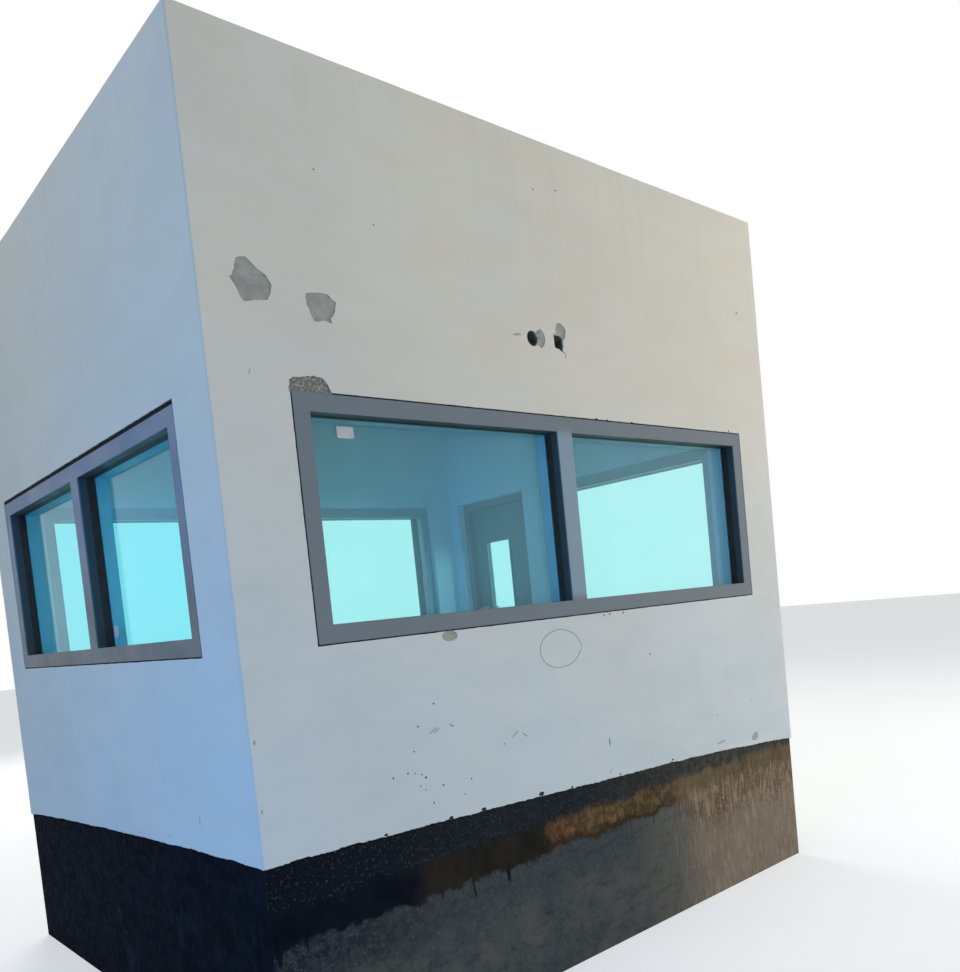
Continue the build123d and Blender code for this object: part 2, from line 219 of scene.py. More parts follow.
runs, given, result = group_tree("runs", "Mask", Width=12.0, Length=0.7, Low=0.5, High=0.68)
bent = put(runs, "TexNoise", {"Vector": given["Place"], "Scale": 3.0, "Detail": 2.0}).outputs["Color"]
wavy = put(runs, "VectorMath", {0: bent, 1: (0.05, 0.05, 0.05)}, operation="MULTIPLY").outputs[0]
moved = put(runs, "VectorMath", {0: given["Place"], 1: wavy}, operation="ADD").outputs[0]
axes = put(runs, "SeparateXYZ", {0: moved}).outputs
thin = put(runs, "CombineXYZ", {"X": times(runs, axes["X"], given["Width"]),
                                "Y": times(runs, axes["Y"], given["Width"]),
                                "Z": times(runs, axes["Z"], given["Length"])}).outputs[0]
drawn = put(runs, "TexNoise", {"Vector": thin, "Scale": 1.0, "Detail": 3.0, "Roughness": 0.55})
runs.links.new(between(runs, drawn.outputs["Fac"], given["Low"], given["High"]), result)

specks, given, result = group_tree("specks", "Mask", Scale=30.0, Size=0.12, Share=0.3)
cell = put(specks, "TexVoronoi", {"Vector": given["Place"], "Scale": given["Scale"]})
dot = maths(specks, "LESS_THAN", cell.outputs["Distance"], given["Size"])
picked = put(specks, "SeparateColor", {0: cell.outputs["Color"]}).outputs["Red"]
specks.links.new(times(specks, dot, maths(specks, "LESS_THAN", picked, given["Share"])), result)

grain, given, result = group_tree("grain", "Height", Fine=260.0, Coarse=40.0, Share=0.5)
fine = put(grain, "TexNoise", {"Vector": given["Place"], "Scale": given["Fine"], "Detail": 2.0})
coarse = put(grain, "TexNoise", {"Vector": given["Place"], "Scale": given["Coarse"], "Detail": 3.0})
both = put(grain, "Mix", {0: given["Share"], 2: fine.outputs["Fac"], 3: coarse.outputs["Fac"]},
           data_type="FLOAT")
grain.links.new(both.outputs[0], result)
print("effects", [g.name for g in (clouds, runs, specks, grain)])

# %% [markdown]
# ## Wall paint
#
# The render has one thin coat of matt white paint. Close up it is chalky, with the trowel's long sweeps under
# it and faint grey runs below the parapet. Its colour also holds painted light: bluish at the foot, for the
# sky's light that reaches the low wall, and warmer high up. The colour stays close to white, and the changes
# are kept small, because they show best as soft relief in low light.

# %% Wall paint
wall_paint, tree, shader, place = new_material("wall_paint")
height = put(tree, "SeparateXYZ", {0: place}).outputs["Z"]
# Painted light: bluish at the foot for the sky's light on the low wall, warmer high up.
tone = tint(tree, between(tree, height, 1.0, 3.9), (189, 200, 206), (205, 199, 184))
patchy = effect(tree, clouds, place, Scale=0.8, Low=0.35, High=0.7)
sweeps = effect(tree, clouds, place, Scale=3.2, Stretch=(0.6, 0.6, 1.6), Low=0.38, High=0.62)
under_top = times(tree, between(tree, height, 3.6, top), effect(tree, runs, place))
dots = effect(tree, specks, place, Scale=9.0, Size=0.035, Share=0.16)
tone = wash(tree, tone, (patchy, 0.40, (190, 191, 186)), (sweeps, 0.20, (211, 211, 207)),
            (under_top, 0.08, (172, 170, 160)), (dots, 0.35, (150, 148, 140)))
sand = effect(tree, grain, place)
trowel = effect(tree, clouds, place, Scale=5.0, Stretch=(0.5, 0.5, 1.4), Low=0.2, High=0.8)
feed(tree, shader, Base_Color=tone, Roughness=0.86, Specular_IOR_Level=0.3)
relief(tree, shader, maths(tree, "ADD", times(tree, sand, 0.35), trowel), 0.0022, 0.55)
print("wall paint", len(tree.nodes), "nodes")

# %% [markdown]
# ## Mortar, plaster and concrete
#
# Where the paint stops, cement shows. The repairs are raw grey-brown mortar, and the broken corner over the
# front window is the render's own coarse, sandy inside. A wall's core shows in three places, told apart by
# position: it is plaster in the room and round the windows, paint in the doorway, and mortar in the holes.
# The plaster's pale blue and its extra brightness are painted light, for the blue light in the room.

# %% Repair mortar
repair_mortar, tree, shader, place = new_material("repair_mortar")
blotch = effect(tree, clouds, place, Scale=14.0, Low=0.35, High=0.65)
pale = effect(tree, specks, place, Scale=150.0, Size=0.3, Share=0.2)
drawn = effect(tree, clouds, place, Scale=30.0, Stretch=(0.3, 0.3, 1.5), Low=0.56, High=0.64)
tone = wash(tree, tint(tree, blotch, (144, 143, 134), (160, 159, 149)),
            (pale, 0.4, (168, 165, 152)), (drawn, 0.35, (104, 102, 94)))
feed(tree, shader, Base_Color=tone, Roughness=0.93)
relief(tree, shader, effect(tree, grain, place, Fine=420.0, Coarse=70.0), 0.004)

# %% Broken render
broken_render, tree, shader, place = new_material("broken_render")
lumps = effect(tree, clouds, place, Scale=60.0, Low=0.4, High=0.62)
pits = effect(tree, clouds, place, Scale=85.0, Low=0.58, High=0.66)
grit = effect(tree, specks, place, Scale=120.0, Size=0.3, Share=0.25)
tone = wash(tree, tint(tree, lumps, (116, 114, 104), (158, 155, 144)),
            (pits, 0.8, (74, 71, 63)), (grit, 0.5, (170, 165, 150)))
feed(tree, shader, Base_Color=tone, Roughness=0.95)
relief(tree, shader, lumps, 0.006)

# %% Wall core and inner plaster
wall_core, tree, shader, place = new_material("wall_core")
spot = put(tree, "SeparateXYZ", {0: place}).outputs
in_x = maths(tree, "LESS_THAN", maths(tree, "ABSOLUTE", spot["X"]), room.x + 0.002)
in_y = maths(tree, "LESS_THAN", maths(tree, "ABSOLUTE", spot["Y"]), room.y + 0.002)
at_opening = maths(tree, "LESS_THAN", spot["Z"], head + 0.01)
finished = maths(tree, "MAXIMUM", times(tree, in_x, in_y), at_opening)
by_door = maths(tree, "GREATER_THAN", spot["X"], jamb[1].x - 0.005)
blotch = effect(tree, clouds, place, Scale=1.6, Low=0.3, High=0.7)
# Painted light: the plaster is pale blue and brighter than plain plaster, for the blue light that comes in
# through the tinted glass.
plaster = tint(tree, blotch, (212, 228, 246), (220, 234, 248))
plaster = tint(tree, by_door, plaster, (201, 204, 203))
rough_tone = tint(tree, effect(tree, clouds, place, Scale=30.0), (92, 88, 80), (122, 117, 106))
feed(tree, shader, Base_Color=tint(tree, finished, rough_tone, plaster), Roughness=0.9)
relief(tree, shader, effect(tree, grain, place, Fine=300.0, Coarse=18.0), 0.002)

# %% Concrete of the slabs and screed
concrete, tree, shader, place = new_material("concrete")
blotch = effect(tree, clouds, place, Scale=1.3, Low=0.3, High=0.7)
stain = effect(tree, clouds, place, Scale=4.5, Low=0.52, High=0.66)
dust = effect(tree, specks, place, Scale=60.0, Size=0.2, Share=0.2)
tone = wash(tree, tint(tree, blotch, (140, 137, 129), (161, 158, 148)),
            (stain, 0.4, (112, 108, 99)), (dust, 0.4, (180, 175, 162)))
feed(tree, shader, Base_Color=tone, Roughness=0.92)
relief(tree, shader, effect(tree, grain, place, Fine=200.0, Coarse=25.0), 0.004)
print("mortar, plaster and concrete ready")

# %% [markdown]
# ## The plinth's bitumen coat
#
# The plinth was brushed with black bitumen. Just under the paint it sits thick, as a grainy crust. Under
# the crust it has worn: still black at the near corner, then brown, rust and at last beige. Below the line
# where the concrete was cast in a second lift it has gone, down to grey concrete. All of that lies at set
# places on the wall, so masks made from position carry it, and noise frays their edges. The other sides
# keep their black, and where the door stands on the plinth the concrete is bare.

# %% Plinth
plinth_coat, tree, shader, place = new_material("plinth_coat")
spot = put(tree, "SeparateXYZ", {0: place}).outputs
fray = put(tree, "TexNoise", {"Vector": place, "Scale": 7.0, "Detail": 6.0, "Roughness": 0.65}).outputs["Fac"]
fray = times(tree, maths(tree, "SUBTRACT", fray, 0.5), 0.20)
drip = effect(tree, runs, place, Width=20.0, Length=0.9, Low=0.58, High=0.68)
level = maths(tree, "ADD", spot["Z"], fray)
across = maths(tree, "ADD", spot["X"], fray)
on_front = maths(tree, "LESS_THAN", spot["Y"], -half_y + 0.03)

cloud = effect(tree, clouds, place, Scale=6.0, Low=0.32, High=0.68)
mottle = effect(tree, clouds, place, Scale=26.0, Low=0.38, High=0.62)
grit = effect(tree, clouds, place, Scale=55.0, Low=0.57, High=0.64)
hatch = effect(tree, runs, place, Width=60.0, Length=5.0, Low=0.40, High=0.62)
drawn = effect(tree, clouds, place, Scale=16.0, Stretch=(0.3, 0.3, 1.3), Low=0.5, High=0.66)
washed = effect(tree, runs, place, Width=36.0, Length=7.0, Low=0.50, High=0.66)

crust_foot, lift_line = (0.870, 0.930), (0.712, 0.738)
brown_from, rust_from, beige_from = (-1.50, -1.34), (-0.52, -0.44), (0.5, 1.25)

grey = tint(tree, between(tree, across, -2.2, -0.9), (32, 38, 44), (60, 65, 66))
grey = tint(tree, between(tree, across, 0.1, 0.8), grey, (96, 94, 87))
low_down = below(tree, level, 0.42, 0.62)
grey = wash(tree, grey, (times(tree, cloud, low_down), 0.6, (92, 92, 84)), (drawn, 0.35, (40, 45, 48)),
            (mottle, 0.30, (78, 84, 88)), (grit, 0.30, (104, 108, 108)),
            (times(tree, hatch, between(tree, across, 0.2, 0.9)), 0.45, (62, 60, 55)))
black = tint(tree, cloud, (12, 16, 25), (20, 25, 33))
brown = tint(tree, cloud, (31, 30, 28), (44, 40, 33))
orange = times(tree, between(tree, across, -0.52, -0.46), below(tree, across, -0.42, -0.10))
rust = wash(tree, tint(tree, cloud, (74, 61, 47), (116, 94, 66)),
            (hatch, 0.30, (52, 42, 33)), (orange, 0.30, (122, 78, 48)),
            (mottle, 0.65, (50, 42, 33)), (grit, 0.40, (132, 98, 64)),
            (below(tree, level, 0.74, 0.79), 0.85, (50, 39, 29)))
olive = tint(tree, cloud, (78, 68, 50), (98, 84, 62))
beige = wash(tree, tint(tree, cloud, (98, 82, 64), (132, 116, 98)),
             (hatch, 0.55, (76, 63, 51)), (mottle, 0.30, (92, 76, 62)),
             (washed, 0.55, (156, 140, 122)), (grit, 0.45, (172, 160, 144)),
             (between(tree, level, 0.74, 0.84), 0.75, olive))

band = black
for start, next_tone in ((brown_from, brown), (rust_from, rust), (beige_from, beige)):
    band = tint(tree, between(tree, across, *start), band, next_tone)
hanging = maths(tree, "ADD", level, times(tree, drip, 0.08))
front_tone = tint(tree, between(tree, hanging, *lift_line), grey, band)
low_beige = wash(tree, beige, (low_down, 0.50, (134, 124, 112)))
front_tone = tint(tree, between(tree, across, 0.62, 1.20), front_tone, low_beige)
crust = tint(tree, between(tree, across, -2.3, -0.6), (17, 22, 31), (36, 42, 46))
crust = tint(tree, between(tree, across, -0.4, 1.3), crust, (70, 70, 64))
crust = wash(tree, crust, (mottle, 0.45, (20, 24, 30)), (grit, 0.50, (78, 77, 74)))
front_tone = tint(tree, below(tree, level, *crust_foot), crust, front_tone)

teal = effect(tree, clouds, place, Scale=4.0, Stretch=(1, 1, 0.5), Low=0.56, High=0.72)
teal = times(tree, teal, below(tree, level, 0.6, 0.78))
side_tone = wash(tree, tint(tree, cloud, (8, 14, 22), (15, 22, 33)), (teal, 0.45, (34, 48, 55)))
tone = tint(tree, on_front, side_tone, front_tone)
bearing = maths(tree, "GREATER_THAN", spot["Z"], room.z - 0.004)
tone = tint(tree, bearing, tone, (146, 143, 135))
gloss = effect(tree, clouds, place, Scale=18.0, Low=0.3, High=0.7)
feed(tree, shader, Base_Color=tone, Specular_IOR_Level=0.01, Roughness=graded(tree, gloss, 0.65, 0.9))
relief(tree, shader, effect(tree, grain, place, Fine=160.0, Coarse=24.0, Share=0.7), 0.005)
print("plinth", len(tree.nodes), "nodes")

# %% [markdown]
# ## Window frames, gaskets and glass
#
# The frames are aluminium with a satin grey-blue powder coat. A powder coat isn't metallic to the eye: it is
# a smooth paint with a fine orange-peel skin and a little site dust. Light is painted into its colour:
# painted shade darkens the reveals, a painted reflection of the sky lightens the front mullion and turns the
# left frame from grey to blue going up, and painted light makes it palest behind the glass. The glass is
# tinted blue-green; its deeper blue on the left is a painted reflection of the sky. Lamps send their light
# through it as well, which a transparent shader for shadow rays takes care of.

# %% Powder coat
mullion = window_left + 1.862
mullion_reach, frame_depth = 0.064, 0.2
above_sill, under_head = (2.18, 2.24), (3.16, 3.24)
painted_reveal_shade_from, painted_inner_light_from = (0.010, 0.016), (0.108, 0.112)
frame_coat, tree, shader, place = new_material("frame_coat")
dusty = effect(tree, clouds, place, Scale=3.5, Low=0.35, High=0.75)
smudge = effect(tree, specks, place, Scale=40.0, Size=0.12, Share=0.10)
tone = wash(tree, (104, 112, 118), (dusty, 0.5, (114, 120, 124)), (smudge, 0.4, (160, 158, 150)))
spot = put(tree, "SeparateXYZ", {0: place}).outputs
depth = maths(tree, "MINIMUM", maths(tree, "SUBTRACT", half_x, maths(tree, "ABSOLUTE", spot["X"])),
              maths(tree, "SUBTRACT", half_y, maths(tree, "ABSOLUTE", spot["Y"])))
from_mullion = maths(tree, "ABSOLUTE", maths(tree, "SUBTRACT", spot["X"], mullion))
on_mullion = times(tree, maths(tree, "LESS_THAN", from_mullion, mullion_reach),
                   maths(tree, "LESS_THAN", spot["Y"], -half_y + frame_depth))
off_rails = times(tree, between(tree, spot["Z"], *above_sill), below(tree, spot["Z"], *under_head))
# Painted reflection: the front mullion between the rails is lightened and blued, for the sky mirrored in it.
tone = tint(tree, times(tree, on_mullion, off_rails), tone, (124, 143, 155))
on_left = maths(tree, "LESS_THAN", spot["X"], -half_x + frame_depth)
# Painted reflection: the left frame turns from grey to blue going up, for the sky mirrored in it.
painted_sky_reflection = tint(tree, between(tree, spot["Z"], 2.2, 2.9), (76, 82, 78), (78, 106, 136))
# Painted shade: the frame darkens from about 10 mm behind the wall's face inwards, in its reveals.
tone = wash(tree, tone, (on_left, 0.6, painted_sky_reflection), (between(tree, depth, *painted_reveal_shade_from), 0.85, (46, 54, 62)))
# Painted light: the frame behind the glass is made pale, for the light in the room.
tone = tint(tree, between(tree, depth, *painted_inner_light_from), tone, (160, 176, 192))
feed(tree, shader, Base_Color=tone, Specular_IOR_Level=0.35, Roughness=graded(tree, dusty, 0.42, 0.6))
relief(tree, shader, effect(tree, grain, place, Fine=900.0, Coarse=300.0), 0.0004, 0.5)

# %% Gasket rubber
gasket_rubber, tree, shader, place = new_material("gasket_rubber")
bloom = effect(tree, clouds, place, Scale=25.0)
feed(tree, shader, Base_Color=tint(tree, bloom, (20, 20, 22), (34, 34, 36)), Roughness=0.6)
relief(tree, shader, effect(tree, grain, place, Fine=700.0, Coarse=150.0), 0.0005)

# %% Tinted glass
window_glass, tree, shader, place = new_material("window_glass")
film = effect(tree, clouds, place, Scale=2.2, Low=0.3, High=0.8)
across = put(tree, "SeparateXYZ", {0: place}).outputs["X"]
pale = tint(tree, between(tree, across, -0.6, 0.6), (0.60, 0.97, 0.98, 1.0), (0.70, 0.99, 0.985, 1.0))
pale = wash(tree, pale, (film, 0.5, (0.63, 0.97, 0.975, 1.0)))
# Painted reflection: the left pane is tinted a deeper blue, for the sky mirrored in it.
deep = tint(tree, between(tree, across, -2.25, -2.1), (0.27, 0.89, 1.0, 1.0), pale)
feed(tree, shader, Base_Color=deep, Roughness=0.0, IOR=1.17, Metallic=0.0, Transmission_Weight=0.94,
     Specular_Tint=(0.45, 0.85, 1.0, 1.0))
clear = put(tree, "BsdfTransparent", {"Color": (0.72, 0.97, 1.0, 1.0)})
choice = put(tree, "MixShader", {0: put(tree, "LightPath").outputs["Is Shadow Ray"],
                                 1: shader.outputs["BSDF"], 2: clear.outputs[0]})
tree.links.new(choice.outputs[0], tree.nodes["Material Output"].inputs["Surface"])
print("frame and glass ready")

# %% [markdown]
# ## Door paint and steel
#
# The door leaf and its frame are steel, painted a satin grey. Hinges, levers and the threshold are
# brushed steel. The brushing is noise drawn out along one direction.

# %% Door paint
door_paint, tree, shader, place = new_material("door_paint")
cast = effect(tree, clouds, place, Scale=2.4, Low=0.3, High=0.7)
tone = tint(tree, cast, (118, 130, 144), (132, 142, 154))
feed(tree, shader, Base_Color=tone, Roughness=graded(tree, cast, 0.38, 0.5))
relief(tree, shader, effect(tree, grain, place, Fine=600.0, Coarse=120.0), 0.0005, 0.5)

# %% Brushed steel
brushed_steel, tree, shader, place = new_material("brushed_steel")
brush = effect(tree, clouds, place, Scale=300.0, Stretch=(1.0, 0.03, 1.0), Low=0.3, High=0.7)
feed(tree, shader, Base_Color=tint(tree, brush, (176, 176, 174), (200, 200, 198)), Metallic=1.0,
     Roughness=graded(tree, brush, 0.3, 0.45))
relief(tree, shader, brush, 0.0002, 0.4)
print("door paint and steel ready")

# %% Put the finishes on the frame's nodes
finish_of = {
    "bitumen_coated_concrete": plinth_coat, "concrete": concrete, "plastered_masonry": wall_core,
    "painted_render": wall_paint, "repair_mortar": repair_mortar, "coated_aluminium": frame_coat,
    "gasket_rubber": gasket_rubber, "tinted_glass": window_glass, "door_paint": door_paint,
    "hardware_steel": brushed_steel,
}
for entry in frame["record"]["subparts"]:
    mesh = nodes[entry["node"]].data
    mesh.materials.clear()
    mesh.materials.append(finish_of[entry["material_slot"]])

# %% [markdown]
# ## Modelling by hand, in code
#
# New pieces start as primitives and are shaped in edit mode, as one would with a mouse. An operator acts on
# whatever is selected, so each step first selects what it needs by place or direction. A finished piece has
# its place in its mesh, rides on a body of the booth, and takes a finish.

# %% Helpers for modelling
def fresh(adder, **settings):
    """Deselect everything, add one primitive, and put its place into its mesh."""
    bpy.ops.object.select_all(action="DESELECT")
    adder(**settings)
    bpy.ops.object.transform_apply(location=True, rotation=True, scale=True)
    return bpy.context.object


def edit(on=True):
    """Go into edit mode, or out of it."""
    bpy.ops.object.mode_set(mode="EDIT" if on else "OBJECT")


def take_all():
    """In edit mode, select everything."""
    bpy.ops.mesh.select_all(action="SELECT")


def pick(kind, test):
    """In edit mode, select only the vertices, edges or faces that pass a test."""
    bpy.ops.mesh.select_mode(type=kind)
    bpy.ops.mesh.select_all(action="DESELECT")
    shape = bmesh.from_edit_mesh(bpy.context.object.data)
    parts = {"VERT": shape.verts, "EDGE": shape.edges, "FACE": shape.faces}[kind]
    for part in [part for part in parts if test(part)]:
        part.select_set(True)
    shape.select_flush_mode()
    bmesh.update_edit_mesh(bpy.context.object.data)


def pull(by, falloff, reach):
    """In edit mode, move what is selected, and let its neighbours within reach follow."""
    bpy.ops.transform.translate(value=by, use_proportional_edit=True, proportional_edit_falloff=falloff,
                                proportional_size=reach)


def stretch(x, y, z):
    """In edit mode, scale what is selected about the origin."""
    bpy.ops.transform.resize(value=(x, y, z), center_override=(0, 0, 0))


def middle(part):
    """The middle of an edge or a face."""
    return sum((v.co for v in part.verts), Vector()) / len(part.verts)


def runs_along(edge, axis, at_least):
    """True for an edge that is long enough and lies along an axis, counted 0 to 2."""
    line = edge.verts[1].co - edge.verts[0].co
    return line.length > at_least and abs(line[axis]) > 0.97 * line.length


def slice_up(axis, pieces, at_least):
    """In edit mode, cut the edges that lie along an axis into pieces."""
    pick("EDGE", lambda edge: runs_along(edge, axis, at_least))
    bpy.ops.mesh.subdivide(number_cuts=pieces - 1)


def use(piece):
    """Make one piece the only selected and the active one."""
    bpy.ops.object.select_all(action="DESELECT")
    piece.select_set(True)
    bpy.context.view_layer.objects.active = piece


def set_down(piece, place, size=(1, 1, 1), turn=(0, 0, 0)):
    """Scale, turn and move a piece, and put all three into its mesh."""
    piece.scale, piece.rotation_euler, piece.location = size, turn, place
    use(piece)
    bpy.ops.object.transform_apply(location=True, rotation=True, scale=True)
    return piece


def copy_of(model, place, size=(1, 1, 1), turn=(0, 0, 0)):
    """A copy of a piece, set down in its place."""
    use(model)
    bpy.ops.object.duplicate()
    return set_down(bpy.context.object, place, size, turn)


def throw_away(*pieces):
    """Delete pieces that only helped to make others."""
    for piece in pieces:
        bpy.data.objects.remove(piece)


def modify(piece, kind, **settings):
    """Give a piece a modifier and apply it."""
    use(piece)
    bpy.ops.object.modifier_add(type=kind)
    modifier = piece.modifiers[-1]
    for name, value in settings.items():
        setattr(modifier, name, value)
    bpy.ops.object.modifier_apply(modifier=modifier.name)


def roughen(piece, size, strength, middle_level=0.5, direction="NORMAL", group=""):
    """Push a surface about by a cloudy pattern with lumps of a size."""
    lumps = bpy.data.textures.new("lumps", "CLOUDS")
    lumps.noise_scale, lumps.noise_depth = size, 3
    modify(piece, "DISPLACE", texture=lumps, strength=strength, mid_level=middle_level,
           direction=direction, vertex_group=group, texture_coords="LOCAL")


def join(*pieces):
    """Make one piece of several."""
    use(pieces[0])
    for piece in pieces:
        piece.select_set(True)
    bpy.ops.object.join()
    return bpy.context.object


def place_piece(piece, name, finish, body="building", stands_for=()):
    """Name a finished piece, paint it, and let it ride on a body."""
    piece.name = piece.data.name = name
    piece.data.materials.clear()
    piece.data.materials.append(finish)
    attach(piece, body)
    if stands_for:
        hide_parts(*stands_for)
    print(name, len(piece.data.polygons), "faces")


# %% [markdown]
# ## The coat of render
#
# The walls wear one skin of render, which folds over the parapet and stops at a ragged painted edge above
# the plinth. It could be the frame's four flat slabs, but a trowelled wall is never flat and its cut edges
# are never straight. So it is modelled as a folded sheet: a box without a floor, its top inset and pushed
# down inside the parapet, its corners rounded, then sliced fine enough to wander by a few millimetres.

# %% Fold the sheet
paint_foot = {(-1, -1): 1.114, (1, -1): 0.926, (1, 1): 0.950, (-1, 1): 0.957}
coat_thickness = arris = 0.011
arch_rise, foot_zone = 0.028, 1.3
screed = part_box("roof_screed")[1]
cap_width = half_x - screed.x + 0.015
foot = min(paint_foot.values())

coat = fresh(bpy.ops.mesh.primitive_cube_add, size=1, location=(0, 0, (foot + top) / 2),
             scale=(2 * half_x, 2 * half_y, top - foot))
edit()
pick("FACE", lambda face: face.normal.z < -0.9)
bpy.ops.mesh.delete(type="ONLY_FACE")
for (side_x, side_y), height in paint_foot.items():
    pick("VERT", lambda v: v.co.z < top - 1 and v.co.x * side_x > 0 and v.co.y * side_y > 0)
    bpy.ops.transform.translate(value=(0, 0, height - foot))
pick("FACE", lambda face: face.normal.z > 0.9)
bpy.ops.mesh.inset(thickness=cap_width)
bpy.ops.mesh.extrude_region_move(TRANSFORM_OT_translate={"value": (0, 0, screed.z - top)})
bpy.ops.mesh.delete(type="FACE")
pick("EDGE", lambda edge: runs_along(edge, 2, 1) or middle(edge).z > top - 0.001 and
     (runs_along(edge, 0, 1) or runs_along(edge, 1, 1)))
bpy.ops.mesh.bevel(offset=arris, segments=3, affect="EDGES")
print("coat folded, its foot", foot, "to", max(paint_foot.values()))

# %% Slice it, arch its foot and fray it
for axis, pieces, at_least in ((0, 78, 1), (1, 66, 1), (2, 62, 1), (2, 9, 0.3)):
    slice_up(axis, pieces, at_least)
for spot, rise, falloff, reach in (
        ((0, -half_y), arch_rise, "SPHERE", half_x), ((0, half_y), arch_rise, "SPHERE", half_x),
        ((-half_x, 0), arch_rise, "SPHERE", half_y), ((half_x, 0), arch_rise, "SPHERE", half_y),
        ((0.95, -half_y), 0.012, "SMOOTH", 1.2)):
    pick("VERT", lambda v: (v.co.xy - Vector(spot)).length < 0.04 and v.co.z < foot_zone and v.is_boundary)
    pull((0, 0, rise), falloff, reach)
pick("EDGE", lambda edge: edge.is_boundary and middle(edge).z < foot_zone)
bpy.ops.mesh.subdivide(number_cuts=7)
pick("VERT", lambda v: v.is_boundary and v.co.z < foot_zone)
bpy.ops.object.vertex_group_assign_new()
edit(False)
coat.vertex_groups[0].name = "painted_edge"
roughen(coat, 0.15, 0.014, direction="Z", group="painted_edge")
roughen(coat, 0.02, 0.012, direction="Z", group="painted_edge")
roughen(coat, 0.8, 0.004, middle_level=1.0)
roughen(coat, 0.16, 0.0014, middle_level=1.0)
modify(coat, "SOLIDIFY", thickness=coat_thickness, offset=-1, use_even_offset=True)
print("sheet", len(coat.data.polygons), "faces")

# %% [markdown]
# ### Openings in the coat
#
# Each window sits in a hole that a builder cut with a trowel, a little wider than the frame. The holes are
# cut by blocks whose faces wander, so the dark joint round a frame is thin in one place and thick in the
# next. Repairs and breaks start from their outline: a ring of points, split and shaken, filled and pulled
# into a solid. The same solid cuts the coat and later shapes the mortar that fills it.

# %% Ragged cutters
def ragged_block(low, high, step, shake, lump):
    """A block with wandering faces."""
    low, high = Vector(low), Vector(high)
    block = fresh(bpy.ops.mesh.primitive_cube_add, size=1, location=(low + high) / 2, scale=high - low)
    edit()
    for axis in range(3):
        if high[axis] - low[axis] > 2 * step:
            slice_up(axis, int((high[axis] - low[axis]) / step), step)
    edit(False)
    roughen(block, lump, shake)
    return block


def ragged_outline(corners, shake, ahead=0.02, depth=0.05):
    """A solid through the front coat, whose outline frays between corners given as (x, z) on the wall."""
    outline = fresh(bpy.ops.mesh.primitive_circle_add, vertices=len(corners), radius=1)
    edit()
    take_all()
    stretch(0, 0, 0)
    for index, (x, z) in enumerate(corners):
        pick("VERT", lambda v: v.index == index)
        bpy.ops.transform.translate(value=(x, -half_y - ahead, z))
    take_all()
    bpy.ops.mesh.subdivide(number_cuts=5)
    edit(False)
    roughen(outline, 0.017, shake, direction="X")
    roughen(outline, 0.023, shake, direction="Z")
    edit()
    take_all()
    bpy.ops.mesh.edge_face_add()
    bpy.ops.mesh.extrude_region_move(TRANSFORM_OT_translate={"value": (0, depth, 0)})
    take_all()
    bpy.ops.mesh.normals_make_consistent(inside=False)
    edit(False)
    return outline


def over_window(side, spare, outer, inner):
    """Corners of a block over a window: what it has to spare left, right, below and above, and how far
    off the wall's face its two broad faces lie."""
    along = 0 if side in ("front", "back") else 1
    sign, reach = (-1 if side in ("front", "left") else 1), (half_y, half_x)[along]
    low, high = (Vector(corner) for corner in window[side])
    low[along], high[along] = low[along] - spare[0], high[along] + spare[1]
    low.z, high.z = low.z - spare[2], high.z + spare[3]
    low[1 - along], high[1 - along] = sorted((sign * (reach + outer), sign * (reach + inner)))
    return low, high


def on_wall(points):
    """Points in millimetres from the wall's left end and the window's head, as (x, z) in metres."""
    return [(x / 1000 - half_x, z / 1000 + head) for x, z in points]


outlines = {
    "patch_one": on_wall([(208, 575), (255, 591), (314, 537), (349, 525), (376, 488), (370, 445), (345, 409),
                          (265, 392), (223, 384), (169, 483), (197, 531)]),
    "patch_two": on_wall([(554, 467), (581, 476), (644, 486), (678, 481), (721, 451), (712, 406), (683, 363),
                          (689, 341), (647, 353), (585, 340), (552, 431)]),
    "hole_smear": on_wall([(2112, 486), (2133, 505), (2158, 512), (2180, 488), (2190, 451), (2175, 415),
                           (2148, 396), (2118, 411), (2127, 430), (2130, 448), (2126, 470)]),
    "pocket_smear": on_wall([(2306, 567), (2335, 571), (2368, 546), (2376, 522), (2362, 480), (2350, 468),
                             (2345, 481), (2322, 497), (2286, 495), (2284, 528)]),
    "sill_patch": [(1.222 - half_x + 0.056 * math.cos(turn), sill - 0.033 + 0.029 * math.sin(turn))
                   for turn in (a / 5 * math.pi for a in range(10))],
    "pocket": on_wall([(2262, 500), (2287, 492), (2322, 494), (2346, 478), (2345, 425), (2331, 393),
                       (2318, 398), (2302, 410), (2268, 414)]),
    "crack": on_wall([(2328, 399), (2348, 397), (2361, 382), (2354, 358), (2349, 359), (2355, 380),
                      (2345, 392), (2328, 394)]),
    "broken_corner": [(window_left + x / 1000, head + z / 1000) for x, z in (
        (-12, -5), (-9, 52), (12, 64), (68, 70), (128, 81), (178, 72), (207, 44), (228, -5))],
}
usual_shake = 0.007
shake_of = {"patch_one": 0.016, "patch_two": 0.016, "broken_corner": 0.018, "crack": 0.001}
cutter_of = {name: ragged_outline(points, shake_of.get(name, usual_shake))
             for name, points in outlines.items()}
print("outlines", list(outlines))

